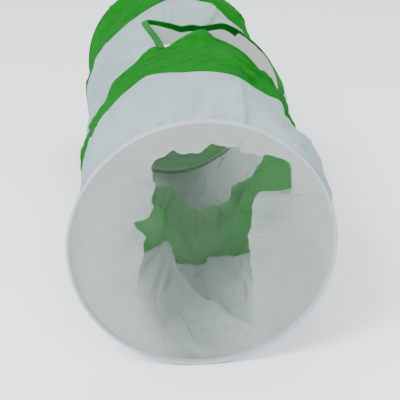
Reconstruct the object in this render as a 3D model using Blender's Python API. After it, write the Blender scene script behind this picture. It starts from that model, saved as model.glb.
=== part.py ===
"""A kids play tunnel: four tubes of thin nylon, white and green by turns, held open by five
spring-steel hoops and lying on its side. Each hoop runs in a folded channel of tape. The third
tube has a peep-hole edged with flat binding tape.

The tunnel runs along Y with its mouth towards -Y. Z is up, and the floor is at Z = 0. The origin is
on the floor, under the middle of the tunnel's bounding box. The tunnel is modelled as it lies: its
hoops stand a little unevenly, and the slack cloth between them hangs in folds.
"""

import math

import bpy
import numpy as np

# Lengths in metres
TUNNEL_RADIUS = 0.240
MOUTH_SECTION_LENGTH = 0.315
SECOND_SECTION_LENGTH = 0.268
THIRD_SECTION_LENGTH = 0.378
REAR_SECTION_LENGTH = 0.299
SECOND_HOOP_SWAY = 0.016
THIRD_HOOP_SWAY = 0.021
FOURTH_HOOP_SWAY = 0.007
REAR_HOOP_SWAY = 0.005
WIRE_RADIUS = 0.00125
WIRE_END_GAP = 0.001
CRIMP_WALL = 0.0005
CRIMP_LENGTH = 0.024
TAPE_THICKNESS = 0.0008
CLOTH_THICKNESS = 0.0008
HEM_DEPTH = 0.014
HEM_RUN_OUT = 0.003
SEAM_ALLOWANCE = 0.005
SEAM_RUN_OUT = 0.004
BINDING_WIDTH = 0.018
BINDING_STANDOFF = 0.0005
WINDOW_REACH = 0.219
PATCH_LENGTH = 0.020
TAB_LENGTH = 0.016
TAB_WIDTH = 0.022
CLEARANCE = 0.0003

# How far the third and fourth hoops turn about the upright: their left sides come nearer the mouth
LEANING_HOOP_TURN = math.radians(7)

# Counts: every ring has a flat facet underneath, which the tunnel rests on
RING_STEPS = 36
WIRE_SIDES = 6
CRIMP_SIDES = 8
CHANNEL_STEPS = 6

# The window spans whole facets, counted from the facet on the right at the tunnel's mid height
WINDOW_FIRST_STEP = 3
WINDOW_LAST_STEP = 11
TAB_STEP = 8
CRIMP_STEP = 26

# How far the cloth pulls each inner hoop out of round: (degrees from the right over the top, share of
# the radius). The lower half, which lies on the floor, stays round
SECOND_HOOP_SHAPE_SHARES = ((5, 0), (33, -0.07), (45, 0), (60, -0.04), (95, -0.02), (115, 0.03), (145, 0))
THIRD_HOOP_SHAPE_SHARES = ((25, 0), (45, -0.04), (85, 0.05), (105, -0.03), (155, -0.05), (180, 0))
FOURTH_HOOP_SHAPE_SHARES = ((40, 0), (65, 0.04), (95, 0.03), (115, -0.04), (135, -0.05), (180, 0))

# How far the cloth hangs in, as shares of the radius, every 30 degrees from the right over the top
MOUTH_FOLD_SHARES = (0.50, 0.22, 0.20, 0.26, 0.34, 0.46, 0.46, 0.38, 0.10, 0.03, 0.06, 0.46)
SECOND_FOLD_SHARES = (0.10, 0.06, 0.02, 0.03, 0.03, 0.08, 0.12, 0.10, 0.04, 0.02, 0.04, 0.12)
THIRD_FOLD_SHARES = (0.03, 0.00, 0.08, 0.10, 0.03, 0.03, 0.04, 0.05, 0.03, 0.01, 0.03, 0.05)
REAR_FOLD_SHARES = (0.04, 0.03, 0.03, 0.04, 0.03, 0.03, 0.05, 0.04, 0.02, 0.01, 0.02, 0.04)
# Where each section's folds are deepest, as a share of its length
FOLD_CREST_SHARES = (0.24, 0.45, 0.58, 0.5)
# How far behind the mouth its deep fold ends, and the outward swell of the right side behind it
MOUTH_FOLD_END_SHARE = 0.8
MOUTH_SWELL_SHARES = (0.03, 0.05, 0.02, 0.0, 0.0, 0.0, 0.0, 0.0, 0.0, 0.0, 0.0, 0.0)
MOUTH_SWELL_START_SHARE = 0.5
# Rows of the cloth's mesh along a section, as shares of its length
MOUTH_ROW_SHARES = (0.1, 0.17, 0.24, 0.34, 0.46, 0.6, 0.74, 0.87)
ROW_SHARES = (0.15, 0.3, 0.45, 0.6, 0.72, 0.86)

SECTION_LENGTHS = (
    MOUTH_SECTION_LENGTH,
    SECOND_SECTION_LENGTH,
    THIRD_SECTION_LENGTH,
    REAR_SECTION_LENGTH,
)
HOOP_SWAYS = (0, SECOND_HOOP_SWAY, THIRD_HOOP_SWAY, FOURTH_HOOP_SWAY, REAR_HOOP_SWAY)
HOOP_TURNS = (0, 0, LEANING_HOOP_TURN, LEANING_HOOP_TURN, 0)
ROUND = ((0, 0), (180, 0))
HOOP_SHAPES = (
    ROUND,
    SECOND_HOOP_SHAPE_SHARES,
    THIRD_HOOP_SHAPE_SHARES,
    FOURTH_HOOP_SHAPE_SHARES,
    ROUND,
)
TUNNEL_LENGTH = sum(SECTION_LENGTHS)
HALF_STEP = math.pi / RING_STEPS
CRIMP_BORE = WIRE_RADIUS + CLEARANCE
CRIMP_RADIUS = CRIMP_BORE + CRIMP_WALL
CHANNEL_RADIUS = CRIMP_RADIUS + CLEARANCE
RIM_RADIUS = CHANNEL_RADIUS + TAPE_THICKNESS
# The end hems' wires run at this radius, and the cloth's edge lies in line with them. The fold round
# a wire has flats at its sides and a corner at its end
HEM_WIRE_RADIUS = TUNNEL_RADIUS - RIM_RADIUS
HEM_WIRE_INSET = RIM_RADIUS / math.cos(math.pi / CHANNEL_STEPS)
HEM_CLOTH_INSET = HEM_WIRE_INSET + CHANNEL_RADIUS + CLEARANCE
# At an inner seam both edges turn in beside each other, and the tape wraps them with the wire
SEAM_CLOTH_RADIUS = TUNNEL_RADIUS - CLOTH_THICKNESS / 2
SEAM_EDGE_RADIUS = TUNNEL_RADIUS - CLOTH_THICKNESS - SEAM_ALLOWANCE
SEAM_WIRE_RADIUS = SEAM_EDGE_RADIUS - CLEARANCE - CHANNEL_RADIUS
SEAM_EDGE_OFFSET = (CLEARANCE + CLOTH_THICKNESS) / 2
# The cloth runs straight this far, clear of the hem's slot and of the seam's tape, before it hangs
HEM_RUN = HEM_DEPTH + HEM_RUN_OUT
SEAM_RUN = SEAM_EDGE_OFFSET + SEAM_RUN_OUT

COLOURS = {
    "steel": (0.42, 0.43, 0.45),
    "white_cloth": (0.62, 0.67, 0.69),
    "green_cloth": (0.04, 0.30, 0.03),
    "white_tape": (0.60, 0.64, 0.65),
    "dark_green_tape": (0.01, 0.14, 0.03),
}


def material(name, metallic=0.0, roughness=0.6):
    made = bpy.data.materials.get(name)
    if made is None:
        made = bpy.data.materials.new(name)
        made.use_nodes = True
        shader = made.node_tree.nodes["Principled BSDF"]
        shader.inputs["Base Color"].default_value = (*COLOURS[name], 1)
        shader.inputs["Metallic"].default_value = metallic
        shader.inputs["Roughness"].default_value = roughness
    return made


def facing_out(points, faces):
    """The faces of a closed mesh, turned round if they face inwards."""
    volume = 0.0
    for face in faces:
        first, *rest = (np.array(points[i]) for i in face)
        for second, third in zip(rest, rest[1:]):
            volume += first @ np.cross(second, third)
    return faces if volume > 0 else [face[::-1] for face in faces]


def add_piece(name, points, faces, finish, smooth=False):
    """A mesh object under the tunnel's empty, in its frame."""
    mesh = bpy.data.meshes.new(name)
    mesh.from_pydata([tuple(p) for p in points], [], facing_out(points, faces))
    mesh.materials.append(finish)
    if smooth:
        mesh.shade_smooth()
        mesh.set_sharp_from_angle(angle=math.radians(40))
    piece = bpy.data.objects.new(name, mesh)
    bpy.context.scene.collection.objects.link(piece)
    piece.parent = bpy.data.objects["tunnel"]
    return piece


def corner_angle(step):
    """The angle of a ring's corner: facets are centred on the right, the top, the left and below."""
    return (2 * step - 1) * HALF_STEP


def hoop_frame(hoop):
    """Centre, turn and shape of a hoop, counted from the mouth. The shape is its radius at each corner
    of the ring, as a share of a round hoop's."""
    along = sum(SECTION_LENGTHS[:hoop]) - TUNNEL_LENGTH / 2
    places, shares = zip(*HOOP_SHAPES[hoop])
    corners = [math.degrees(corner_angle(step)) for step in range(RING_STEPS)]
    shape = 1 + np.interp(corners, places, shares)
    return np.array([HOOP_SWAYS[hoop], along, TUNNEL_RADIUS]), HOOP_TURNS[hoop], shape


def straight_runs(section):
    """How far the cloth follows the hoop at each end of a section before it leaves for the other."""
    lead = HEM_RUN if section == 0 else SEAM_RUN
    tail = HEM_RUN if section == len(SECTION_LENGTHS) - 1 else SEAM_RUN
    return lead, tail


def cloth_point(section, step, along, radius):
    """A point of a section's cloth: it turns and sways evenly from one hoop's frame to the next."""
    lead, tail = straight_runs(section)
    length = SECTION_LENGTHS[section]
    share = min(max((along - lead) / (length - lead - tail), 0), 1)
    near, far = hoop_frame(section), hoop_frame(section + 1)
    frame = [a + share * (b - a) for a, b in zip(near, far)]
    local = along - share * length
    return ring_point(frame, step, local, radius)


def ring_point(frame, step, along, radius):
    """A point at a corner of a ring: radius is measured to the flat of a facet of a round ring, and
    along to the ring's rear."""
    centre, turn, shape = frame
    angle = corner_angle(step)
    corner = radius * shape[step % RING_STEPS] / math.cos(HALF_STEP)
    across = corner * math.cos(angle)
    return centre + np.array(
        [
            across * math.cos(turn) - along * math.sin(turn),
            across * math.sin(turn) + along * math.cos(turn),
            corner * math.sin(angle),
        ]
    )


def arc(radius, opening, steps):
    """Points round a wire, from one side of a slot this wide towards +X to its other side.

    The steps have their flats on the radius, and those nearest the slot are cut short by it.
    """
    corner = radius / math.cos(math.pi / steps)
    start = math.asin(opening / 2 / corner)
    turns = [2 * math.pi * i / steps for i in range(1, steps)]
    angles = [start, *turns, 2 * math.pi - start]
    return [(corner * math.cos(a), corner * math.sin(a)) for a in angles]


def channel_outline(slot, leg):
    """Cross-section of a folded tape: a round fold for the wire, and two legs either side of a slot."""
    outer = arc(RIM_RADIUS, slot + 2 * TAPE_THICKNESS, CHANNEL_STEPS)
    inner = arc(CHANNEL_RADIUS, slot, CHANNEL_STEPS)
    outer_leg = slot / 2 + TAPE_THICKNESS
    outline = [(leg, outer_leg), *outer, (leg, -outer_leg)]
    outline += [(leg, -slot / 2), *inner[::-1], (leg, slot / 2)]
    return outline


def ring_faces(corners, steps, closed=True):
    """Quads between neighbouring cross-sections, and end caps on an open ring."""
    faces = []
    for step in range(steps if closed else steps - 1):
        here = step * corners
        there = (step + 1) % steps * corners
        for i in range(corners):
            j = (i + 1) % corners
            faces.append((here + i, here + j, there + j, there + i))
    if not closed:
        faces.append(tuple(reversed(range(corners))))
        faces.append(tuple((steps - 1) * corners + i for i in range(corners)))
    return faces


def add_channel(name, hoop, outline, finish):
    """Sweeps (along, radius) points round a hoop."""
    frame = hoop_frame(hoop)
    points = []
    for step in range(RING_STEPS):
        for along, radius in outline:
            points.append(ring_point(frame, step, along, radius))
    return add_piece(name, points, ring_faces(len(outline), RING_STEPS), finish, smooth=True)


def add_end_hem(name, hoop, rearward):
    """The folded hem at an end: its slot opens towards the middle of the tunnel."""
    slot = CLOTH_THICKNESS + 2 * CLEARANCE
    outline = channel_outline(slot, HEM_DEPTH - HEM_WIRE_INSET)
    turned = [(rearward * (HEM_WIRE_INSET + a), HEM_WIRE_RADIUS + rearward * r) for a, r in outline]
    return add_channel(name, hoop, turned, material("white_tape" if hoop == 0 else "green_cloth"))


def add_seam_tape(name, hoop):
    """The channel inside an inner seam: its slot opens outwards, round both turned-in edges."""
    slot = 2 * CLOTH_THICKNESS + 3 * CLEARANCE
    leg = TUNNEL_RADIUS - CLOTH_THICKNESS - CLEARANCE - SEAM_WIRE_RADIUS
    outline = [(-r, SEAM_WIRE_RADIUS + a) for a, r in channel_outline(slot, leg)]
    return add_channel(name, hoop, outline, material("green_cloth"))


def wire_line(hoop):
    """(radius, distance behind the hoop's plane) of a hoop's wire."""
    if hoop == 0:
        return HEM_WIRE_RADIUS, HEM_WIRE_INSET
    if hoop == len(SECTION_LENGTHS):
        return HEM_WIRE_RADIUS, -HEM_WIRE_INSET
    return SEAM_WIRE_RADIUS, 0


def tube_ring(centre, outward, along, radius, sides):
    """Corners of a regular cross-section whose flats lie on a radius."""
    corner = radius / math.cos(math.pi / sides)
    ring = []
    for i in range(sides):
        angle = 2 * math.pi * i / sides
        ring.append(centre + corner * (math.cos(angle) * outward + math.sin(angle) * along))
    return ring


def hoop_axes(frame, angle):
    """Outward and along directions at an angle of a hoop."""
    turn = frame[1]
    outward = np.array(
        [math.cos(angle) * math.cos(turn), math.cos(angle) * math.sin(turn), math.sin(angle)]
    )
    return outward, np.array([-math.sin(turn), math.cos(turn), 0])


def crimp_place(hoop):
    """Middle, outward, along and tangent directions of the facet where a wire's ends meet."""
    frame = hoop_frame(hoop)
    radius, behind = wire_line(hoop)
    first = ring_point(frame, CRIMP_STEP, behind, radius)
    second = ring_point(frame, CRIMP_STEP + 1, behind, radius)
    angle = (corner_angle(CRIMP_STEP) + corner_angle(CRIMP_STEP + 1)) / 2
    tangent = (second - first) / np.linalg.norm(second - first)
    return (first + second) / 2, *hoop_axes(frame, angle), tangent


def add_wire(name, hoop):
    """A hoop of wire whose two ends meet, a small gap apart, inside the crimp."""
    frame = hoop_frame(hoop)
    radius, behind = wire_line(hoop)
    middle, outward, along, tangent = crimp_place(hoop)
    rings = [tube_ring(middle + tangent * WIRE_END_GAP / 2, outward, along, WIRE_RADIUS, WIRE_SIDES)]
    for step in range(CRIMP_STEP + 1, CRIMP_STEP + 1 + RING_STEPS):
        axes = hoop_axes(frame, corner_angle(step))
        centre = ring_point(frame, step, behind, radius)
        rings.append(tube_ring(centre, *axes, WIRE_RADIUS, WIRE_SIDES))
    rings.append(
        tube_ring(middle - tangent * WIRE_END_GAP / 2, outward, along, WIRE_RADIUS, WIRE_SIDES)
    )
    points = [point for ring in rings for point in ring]
    faces = ring_faces(WIRE_SIDES, len(rings), closed=False)
    return add_piece(name, points, faces, material("steel", 0.9, 0.35), smooth=True)


def add_crimp(name, hoop):
    """The short tube that is crimped over both ends of a wire."""
    middle, outward, along, tangent = crimp_place(hoop)
    points = []
    for side, radius in ((-1, CRIMP_BORE), (-1, CRIMP_RADIUS), (1, CRIMP_RADIUS), (1, CRIMP_BORE)):
        end = middle + side * tangent * CRIMP_LENGTH / 2
        points += tube_ring(end, outward, along, radius, CRIMP_SIDES)
    faces = ring_faces(CRIMP_SIDES, 4)
    return add_piece(name, points, faces, material("steel", 0.9, 0.35), smooth=True)


def around(shares, angle):
    """A smooth closed curve through values spaced evenly round the tunnel."""
    place = angle / (2 * math.pi) * len(shares)
    first = math.floor(place)
    t = place - first
    before, here, after, beyond = (shares[(first + i) % len(shares)] for i in (-1, 0, 1, 2))
    slope = (after - before) / 2
    next_slope = (beyond - here) / 2
    blend = t * t * (3 - 2 * t)
    rise = t * (1 - t) * ((1 - t) * slope - t * next_slope)
    return here + (after - here) * blend + rise


def hump(share, start, crest, end):
    """A smooth rise from 0 at start to 1 at crest and back to 0 at end."""
    if not start < share < end:
        return 0.0
    power = math.log(0.5) / math.log((crest - start) / (end - start))
    return math.sin(math.pi * ((share - start) / (end - start)) ** power) ** 2


def fold(section, angle, share):
    """How far in the cloth hangs at a place of a section, as a share of the radius."""
    crest = FOLD_CREST_SHARES[section]
    shares = (MOUTH_FOLD_SHARES, SECOND_FOLD_SHARES, THIRD_FOLD_SHARES, REAR_FOLD_SHARES)[section]
    lead, tail = straight_runs(section)
    start = lead / SECTION_LENGTHS[section]
    end = 1 - tail / SECTION_LENGTHS[section]
    if section > 0:
        return around(shares, angle) * hump(share, start, crest, end)
    deep = around(shares, angle) * hump(share, start, crest, MOUTH_FOLD_END_SHARE)
    middle = (MOUTH_SWELL_START_SHARE + 1) / 2
    swell = around(MOUTH_SWELL_SHARES, angle) * hump(share, MOUTH_SWELL_START_SHARE, middle, end)
    return deep - swell


def cloth_rows(section):
    """(along, radius) of the cloth's middle at each row of a section: hems run straight in their
    slots, and seam edges turn in."""
    length = SECTION_LENGTHS[section]
    shares = MOUTH_ROW_SHARES if section == 0 else ROW_SHARES
    rows = []
    if section == 0:
        rows.append((HEM_CLOTH_INSET, HEM_WIRE_RADIUS))
        rows.append((HEM_RUN, HEM_WIRE_RADIUS))
    else:
        rows.append((SEAM_EDGE_OFFSET, SEAM_EDGE_RADIUS))
        rows.append((SEAM_EDGE_OFFSET, SEAM_CLOTH_RADIUS))
        rows.append((SEAM_RUN, SEAM_CLOTH_RADIUS))
    for share in shares:
        rows.append((share * length, SEAM_CLOTH_RADIUS))
    if section == 2:
        rows.append((WINDOW_REACH, SEAM_CLOTH_RADIUS))
        rows.append((WINDOW_REACH + BINDING_WIDTH, SEAM_CLOTH_RADIUS))
        rows[2:] = sorted(rows[2:])
    if section == len(SECTION_LENGTHS) - 1:
        rows.append((length - HEM_RUN, HEM_WIRE_RADIUS))
        rows.append((length - HEM_CLOTH_INSET, HEM_WIRE_RADIUS))
    else:
        rows.append((length - SEAM_RUN, SEAM_CLOTH_RADIUS))
        rows.append((length - SEAM_EDGE_OFFSET, SEAM_CLOTH_RADIUS))
        rows.append((length - SEAM_EDGE_OFFSET, SEAM_EDGE_RADIUS))
    return rows


def mitred_offset(line, i, distance):
    """A point beside point i of a line, this far to its outer side."""
    here = line[i]
    ahead = line[min(i + 1, len(line) - 1)] - line[min(i, len(line) - 2)]
    behind = line[max(i, 1)] - line[max(i - 1, 0)]
    ahead = ahead / np.linalg.norm(ahead)
    behind = behind / np.linalg.norm(behind)
    normals = np.array([-ahead[1] - behind[1], ahead[0] + behind[0]])
    return here + normals * distance / (1 + ahead @ behind)


def cloth_grid(section, offset):
    """Points of the cloth on one of its faces: offset is measured outwards from its middle."""
    length = SECTION_LENGTHS[section]
    grid = []
    for step in range(RING_STEPS):
        angle = corner_angle(step)
        line = []
        for along, radius in cloth_rows(section):
            line.append(np.array([along, radius * (1 - fold(section, angle, along / length))]))
        column = []
        for i in range(len(line)):
            along, radius = mitred_offset(line, i, offset)
            column.append(cloth_point(section, step, along, radius))
        grid.append(column)
    return np.array(grid)


def halves(points, quad):
    """The two triangles of a quad, cut along its shorter diagonal."""
    a, b, c, d = quad
    if np.linalg.norm(points[a] - points[c]) <= np.linalg.norm(points[b] - points[d]):
        return (a, b, c), (a, c, d)
    return (a, b, d), (b, c, d)


def sheet_solid(outer, inner, cells, closed):
    """Closed mesh of a sheet from its two faces: cells says which of its quads are there."""
    columns, rows = outer.shape[:2]
    points = np.concatenate([outer.reshape(-1, 3), inner.reshape(-1, 3)])

    def corners(c, r):
        """The quad's corners, as indices of the outer face."""
        after = (c + 1) % columns
        return c * rows + r, after * rows + r, after * rows + r + 1, c * rows + r + 1

    faces = []
    edges = {}
    for c in range(columns if closed else columns - 1):
        for r in range(rows - 1):
            if not cells(c, r):
                continue
            quad = corners(c, r)
            for half in halves(points, quad):
                faces.append(half)
                faces.append(tuple(i + columns * rows for i in reversed(half)))
            for i in range(4):
                edges[quad[i], quad[(i + 1) % 4]] = True
    for a, b in edges:
        if (b, a) not in edges:
            faces.append((b, a, a + columns * rows, b + columns * rows))
    used = sorted({i for face in faces for i in face})
    place = {old: new for new, old in enumerate(used)}
    return points[used], [tuple(place[i] for i in face) for face in faces]


def window_rows():
    """The rows of the third section's cloth between which the window is open."""
    rows = cloth_rows(2)
    return 0, [along for along, _ in rows].index(WINDOW_REACH)


def add_panel(name, section, finish):
    """One section's tube of cloth. The third has the window cut out of its near edge."""
    first, last = window_rows()

    def present(c, r):
        in_window = WINDOW_FIRST_STEP < c + 1 <= WINDOW_LAST_STEP and first <= r < last
        return not (section == 2 and in_window)

    outer = cloth_grid(section, CLOTH_THICKNESS / 2)
    inner = cloth_grid(section, -CLOTH_THICKNESS / 2)
    points, faces = sheet_solid(outer, inner, present, closed=True)
    return add_piece(name, points, faces, finish)


def strip_distances(section, start, end):
    """Distances along a section from start to end, with one at each of the cloth's rows between."""
    rows = [along for along, _ in cloth_rows(section)]
    return [start, *(along for along in rows if start < along < end), end]


def strip_face(section, columns, distances, offset):
    """One face of a strip that lies on a section's cloth, offset outwards from the cloth's middle.

    columns are (facet corner, share towards the next corner).
    """
    length = SECTION_LENGTHS[section]
    rows = cloth_rows(section)

    def line_points(step):
        angle = corner_angle(step)
        alongs = [along for along, _ in rows]
        radii = [radius * (1 - fold(section, angle, along / length)) for along, radius in rows]
        line = [np.array([d, np.interp(d, alongs, radii)]) for d in distances]
        beside = [mitred_offset(line, i, offset) for i in range(len(line))]
        return np.array([cloth_point(section, step, *point) for point in beside])

    return np.array([(1 - t) * line_points(c) + t * line_points(c + 1) for c, t in columns])


def add_strip(name, section, columns, distances, finish):
    """A flat strip of tape that lies a small standoff outside a section's cloth."""
    under = CLOTH_THICKNESS / 2 + BINDING_STANDOFF
    outer = strip_face(section, columns, distances, under + TAPE_THICKNESS)
    inner = strip_face(section, columns, distances, under)
    points, faces = sheet_solid(outer, inner, lambda c, r: True, closed=False)
    return add_piece(name, points, faces, finish)


def facet_share(width):
    """A width across a facet, as a share of the facet."""
    return width / (2 * TUNNEL_RADIUS * math.tan(HALF_STEP))


def add_window_trim():
    """The binding on three sides of the window, the patches at its ends and the keeper tab."""
    tape = material("dark_green_tape")
    width = facet_share(BINDING_WIDTH)
    gap = facet_share(CLEARANCE)
    side_rows = strip_distances(2, SEAM_EDGE_OFFSET + CLEARANCE, WINDOW_REACH + BINDING_WIDTH)
    far_rows = strip_distances(2, WINDOW_REACH, WINDOW_REACH + BINDING_WIDTH)
    left = [(WINDOW_LAST_STEP, 0), (WINDOW_LAST_STEP, width)]
    right = [(WINDOW_FIRST_STEP - 1, 1 - width), (WINDOW_FIRST_STEP - 1, 1)]
    between = [(step, 0) for step in range(WINDOW_FIRST_STEP + 1, WINDOW_LAST_STEP)]
    across = [(WINDOW_FIRST_STEP, gap), *between, (WINDOW_LAST_STEP - 1, 1 - gap)]
    add_strip("window_binding_left", 2, left, side_rows, tape)
    add_strip("window_binding_right", 2, right, side_rows, tape)
    add_strip("window_binding_far", 2, across, far_rows, tape)
    second = SECTION_LENGTHS[1]
    near_seam = second - SEAM_EDGE_OFFSET - CLEARANCE
    patch_rows = strip_distances(1, near_seam - PATCH_LENGTH, near_seam)
    add_strip("window_patch_left", 1, left, patch_rows, tape)
    add_strip("window_patch_right", 1, right, patch_rows, tape)
    tab_share = facet_share(TAB_WIDTH)
    tab = [(TAB_STEP, (1 - tab_share) / 2), (TAB_STEP, (1 + tab_share) / 2)]
    tab_rows = strip_distances(1, near_seam - TAB_LENGTH, near_seam)
    add_strip("window_tab", 1, tab, tab_rows, tape)


def set_origin_under_middle():
    """Moves the tunnel sideways so that its bounding box is centred on X = 0."""
    tunnel = bpy.data.objects["tunnel"]
    across = [vertex.co.x for piece in tunnel.children for vertex in piece.data.vertices]
    tunnel.location.x = -(min(across) + max(across)) / 2


def build():
    for old in list(bpy.data.objects):
        bpy.data.objects.remove(old, do_unlink=True)
    tunnel = bpy.data.objects.new("tunnel", None)
    bpy.context.scene.collection.objects.link(tunnel)
    last = len(SECTION_LENGTHS)
    add_end_hem("front_hem", 0, 1)
    add_end_hem("rear_hem", last, -1)
    for hoop in range(1, last):
        add_seam_tape(f"seam_tape_{hoop + 1}", hoop)
    for hoop in range(last + 1):
        add_wire(f"hoop_{hoop + 1}_wire", hoop)
        add_crimp(f"hoop_{hoop + 1}_crimp", hoop)
    add_panel("panel_1_white", 0, material("white_cloth"))
    add_panel("panel_2_green", 1, material("green_cloth"))
    add_panel("panel_3_white", 2, material("white_cloth"))
    add_panel("panel_4_green", 3, material("green_cloth"))
    add_window_trim()
    set_origin_under_middle()


build()
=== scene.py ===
"""The looks of a kids play tunnel: four tubes of thin nylon, white and green by turns, hung between
five spring-steel hoops, with sewn hems and seams and a peep-hole edged with binding tape.

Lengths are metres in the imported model's frame: Y runs along the tunnel from its mouth, Z is up and
the floor is at Z = 0. Angles are degrees round the tunnel, from its right side over the top. A
section's cloth is a grid: its columns go round the tunnel, and its rows go along it.
"""

import math

import bpy
import numpy as np
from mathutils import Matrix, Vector


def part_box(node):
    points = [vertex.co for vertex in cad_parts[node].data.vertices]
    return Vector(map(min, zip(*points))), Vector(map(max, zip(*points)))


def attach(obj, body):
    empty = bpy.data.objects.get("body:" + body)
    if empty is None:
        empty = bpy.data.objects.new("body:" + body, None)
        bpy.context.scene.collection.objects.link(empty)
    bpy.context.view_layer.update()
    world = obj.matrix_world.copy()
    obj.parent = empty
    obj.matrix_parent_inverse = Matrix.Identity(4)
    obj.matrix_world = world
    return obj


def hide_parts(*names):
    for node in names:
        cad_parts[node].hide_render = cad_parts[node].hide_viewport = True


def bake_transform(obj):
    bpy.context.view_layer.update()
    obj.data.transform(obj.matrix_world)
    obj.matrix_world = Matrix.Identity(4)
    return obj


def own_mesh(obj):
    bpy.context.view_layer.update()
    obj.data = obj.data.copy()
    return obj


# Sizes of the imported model
TUNNEL_RADIUS = 0.240
SECTION_LENGTHS = (0.315, 0.268, 0.378, 0.299)
HOOP_SWAYS = (0, 0.016, 0.021, 0.007, 0.005)
HOOP_TURNS = (0, 0, math.radians(7), math.radians(7), 0)
WIRE_RADIUS = 0.00125
CRIMP_WALL = 0.0005
TAPE_THICKNESS = 0.0008
CLOTH_THICKNESS = 0.0008
HEM_DEPTH = 0.014
HEM_RUN_OUT = 0.003
SEAM_ALLOWANCE = 0.005
SEAM_RUN_OUT = 0.004
BINDING_WIDTH = 0.018
BINDING_STANDOFF = 0.0005
WINDOW_REACH = 0.219
PATCH_LENGTH = 0.020
TAB_LENGTH = 0.016
TAB_WIDTH = 0.022
CLEARANCE = 0.0003
CHANNEL_STEPS = 6
WINDOW_RIGHT = 25.25
WINDOW_LEFT = 105.0
TAB_MIDDLE = 81.0

# How far each inner hoop is pulled out of round: (degrees, share of the radius)
ROUND = ((0, 0), (180, 0))
HOOP_SHAPE_SHARES = (
    ROUND,
    ((5, 0), (20, -0.055), (33, -0.085), (39, -0.055), (45, 0.004), (52, -0.04), (60, -0.045),
     (71, -0.012), (97, -0.02), (114, 0.045), (122, 0.02), (146, -0.01), (170, 0)),
    ((22, 0), (31, -0.045), (40, -0.06), (47, -0.055), (57, -0.025), (77, 0.012), (84, 0.085), (91, 0.03),
     (104, -0.065), (111, 0), (124, -0.06), (133, -0.055), (141, -0.04), (152, -0.08), (163, -0.03),
     (180, 0)),
    ((30, 0), (40, 0.015), (52, -0.005), (65, 0.05), (80, 0.047), (95, 0.035), (105, -0.01),
     (116, -0.045), (132, -0.06), (146, -0.04), (152, -0.02), (160, -0.035), (175, 0)),
    ROUND,
)

# How softly the corners of these lines are rounded, in degrees
SHAPE_SOFTNESS = 1.7
CREST_SOFTNESS = 1.2
RIDGE_SOFTNESS = 2.0
FLOOR_RIDGE_SOFTNESS = 3.0
FOLD_SOFTNESS = 4.0
WINDOW_SOFTNESS = 6.0

# The crest of the slack cloth that hangs into the mouth: (place on the cloth in degrees, where it
# hangs in degrees, share of the radius). The cloth at the right folds over itself
MOUTH_CREST_SHARES = (
    (0, 2, 0.38), (8, 16, 0.41), (14, 25.5, 0.465), (17.5, 32, 0.51), (20, 27.5, 0.58), (23, 22.5, 0.685),
    (26, 22.5, 0.745), (31, 31, 0.81), (39, 39, 0.87), (45, 45, 0.86), (50, 50, 0.84), (57, 57, 0.77),
    (66, 66, 0.72), (79, 79, 0.72), (85, 85, 0.76), (90, 90, 0.68), (96, 96, 0.69), (103, 103, 0.69),
    (106, 106, 0.75), (111, 112, 0.69), (124, 124, 0.69), (134, 134, 0.56), (142, 142, 0.50),
    (150, 150, 0.45), (158, 158, 0.455), (164, 164, 0.50), (170, 170, 0.54), (178, 178, 0.52),
    (184, 184, 0.46), (192, 192, 0.45), (204, 204, 0.50), (212, 212, 0.60), (222, 222, 0.74),
    (236, 236, 0.88), (252, 252, 0.95), (270, 270, 0.97), (286, 286, 0.96), (297, 297, 0.94),
    (303, 303, 0.80), (310, 310, 0.65), (322, 322, 0.51), (337, 338, 0.42), (350, 351, 0.385),
)
MOUTH_SWELL_SHARES = (
    (0, 0.10), (12, 0.09), (25, 0.085), (33, 0.06), (37, 0.02), (40, -0.03), (43, -0.06), (48, -0.05),
    (58, 0), (140, 0), (158, -0.025), (175, -0.03), (195, 0), (320, 0), (345, 0.06),
)
MOUTH_SWELL_START_SHARE = 0.36
MOUTH_FOLD_END_SHARES = ((0, 0.46), (10, 0.40), (36, 0.40), (60, 0.75), (90, 0.86), (320, 0.86), (345, 0.6))
# How far in the other sections' cloth hangs: (degrees, share of the radius)
SECOND_FOLD_SHARES = (
    (0, 0.24), (9, 0.14), (20, -0.04), (32, -0.07), (44, -0.03), (60, 0.02), (90, 0.01), (120, 0.02),
    (142, -0.02), (158, -0.035), (174, -0.03), (188, 0.04), (204, 0.26), (216, 0.40), (230, 0.44),
    (244, 0.34), (258, 0.20), (270, 0.12), (284, 0.14), (296, 0.16), (304, 0.22), (314, 0.34),
    (330, 0.34), (348, 0.30),
)
# Slack that heaps up inside the second section, close before the third hoop
SECOND_RIDGE_SHARES = (
    (5, 0.14), (15, 0), (190, 0), (206, 0.24), (221, 0.42), (233, 0.51), (246, 0.51), (258, 0.46),
    (268, 0.36), (275, 0.31), (285, 0.32), (297, 0.28), (303, 0.29), (311, 0.38), (322, 0.33),
    (336, 0.29), (352, 0.27),
)
SECOND_RIDGE_START_SHARE = 0.02
SECOND_RIDGE_CREST_SHARE = 0.79
THIRD_FOLD_SHARES = (
    (0, 0), (14, 0), (25, -0.01), (34, 0.07), (50, 0.12), (76, 0.14), (91, 0.03), (98, -0.05),
    (108, -0.08), (118, -0.05), (130, 0.03), (150, 0.03), (180, 0.04), (210, 0.05), (240, 0.03),
    (270, 0.01), (300, 0.03), (335, 0.04),
)
# The cloth behind the window sinks further, and shows its inner side through the window
WINDOW_SAG_SHARES = (
    (4, 0), (13, 0.12), (22, 0.22), (32, 0.30), (40, 0.32), (52, 0.34), (75, 0.36), (88, 0.34), (98, 0.34),
    (106, 0.28), (114, 0.12), (126, 0),
)
WINDOW_SAG_START_SHARE = 0.585
WINDOW_SAG_CREST_SHARE = 0.76
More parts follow.
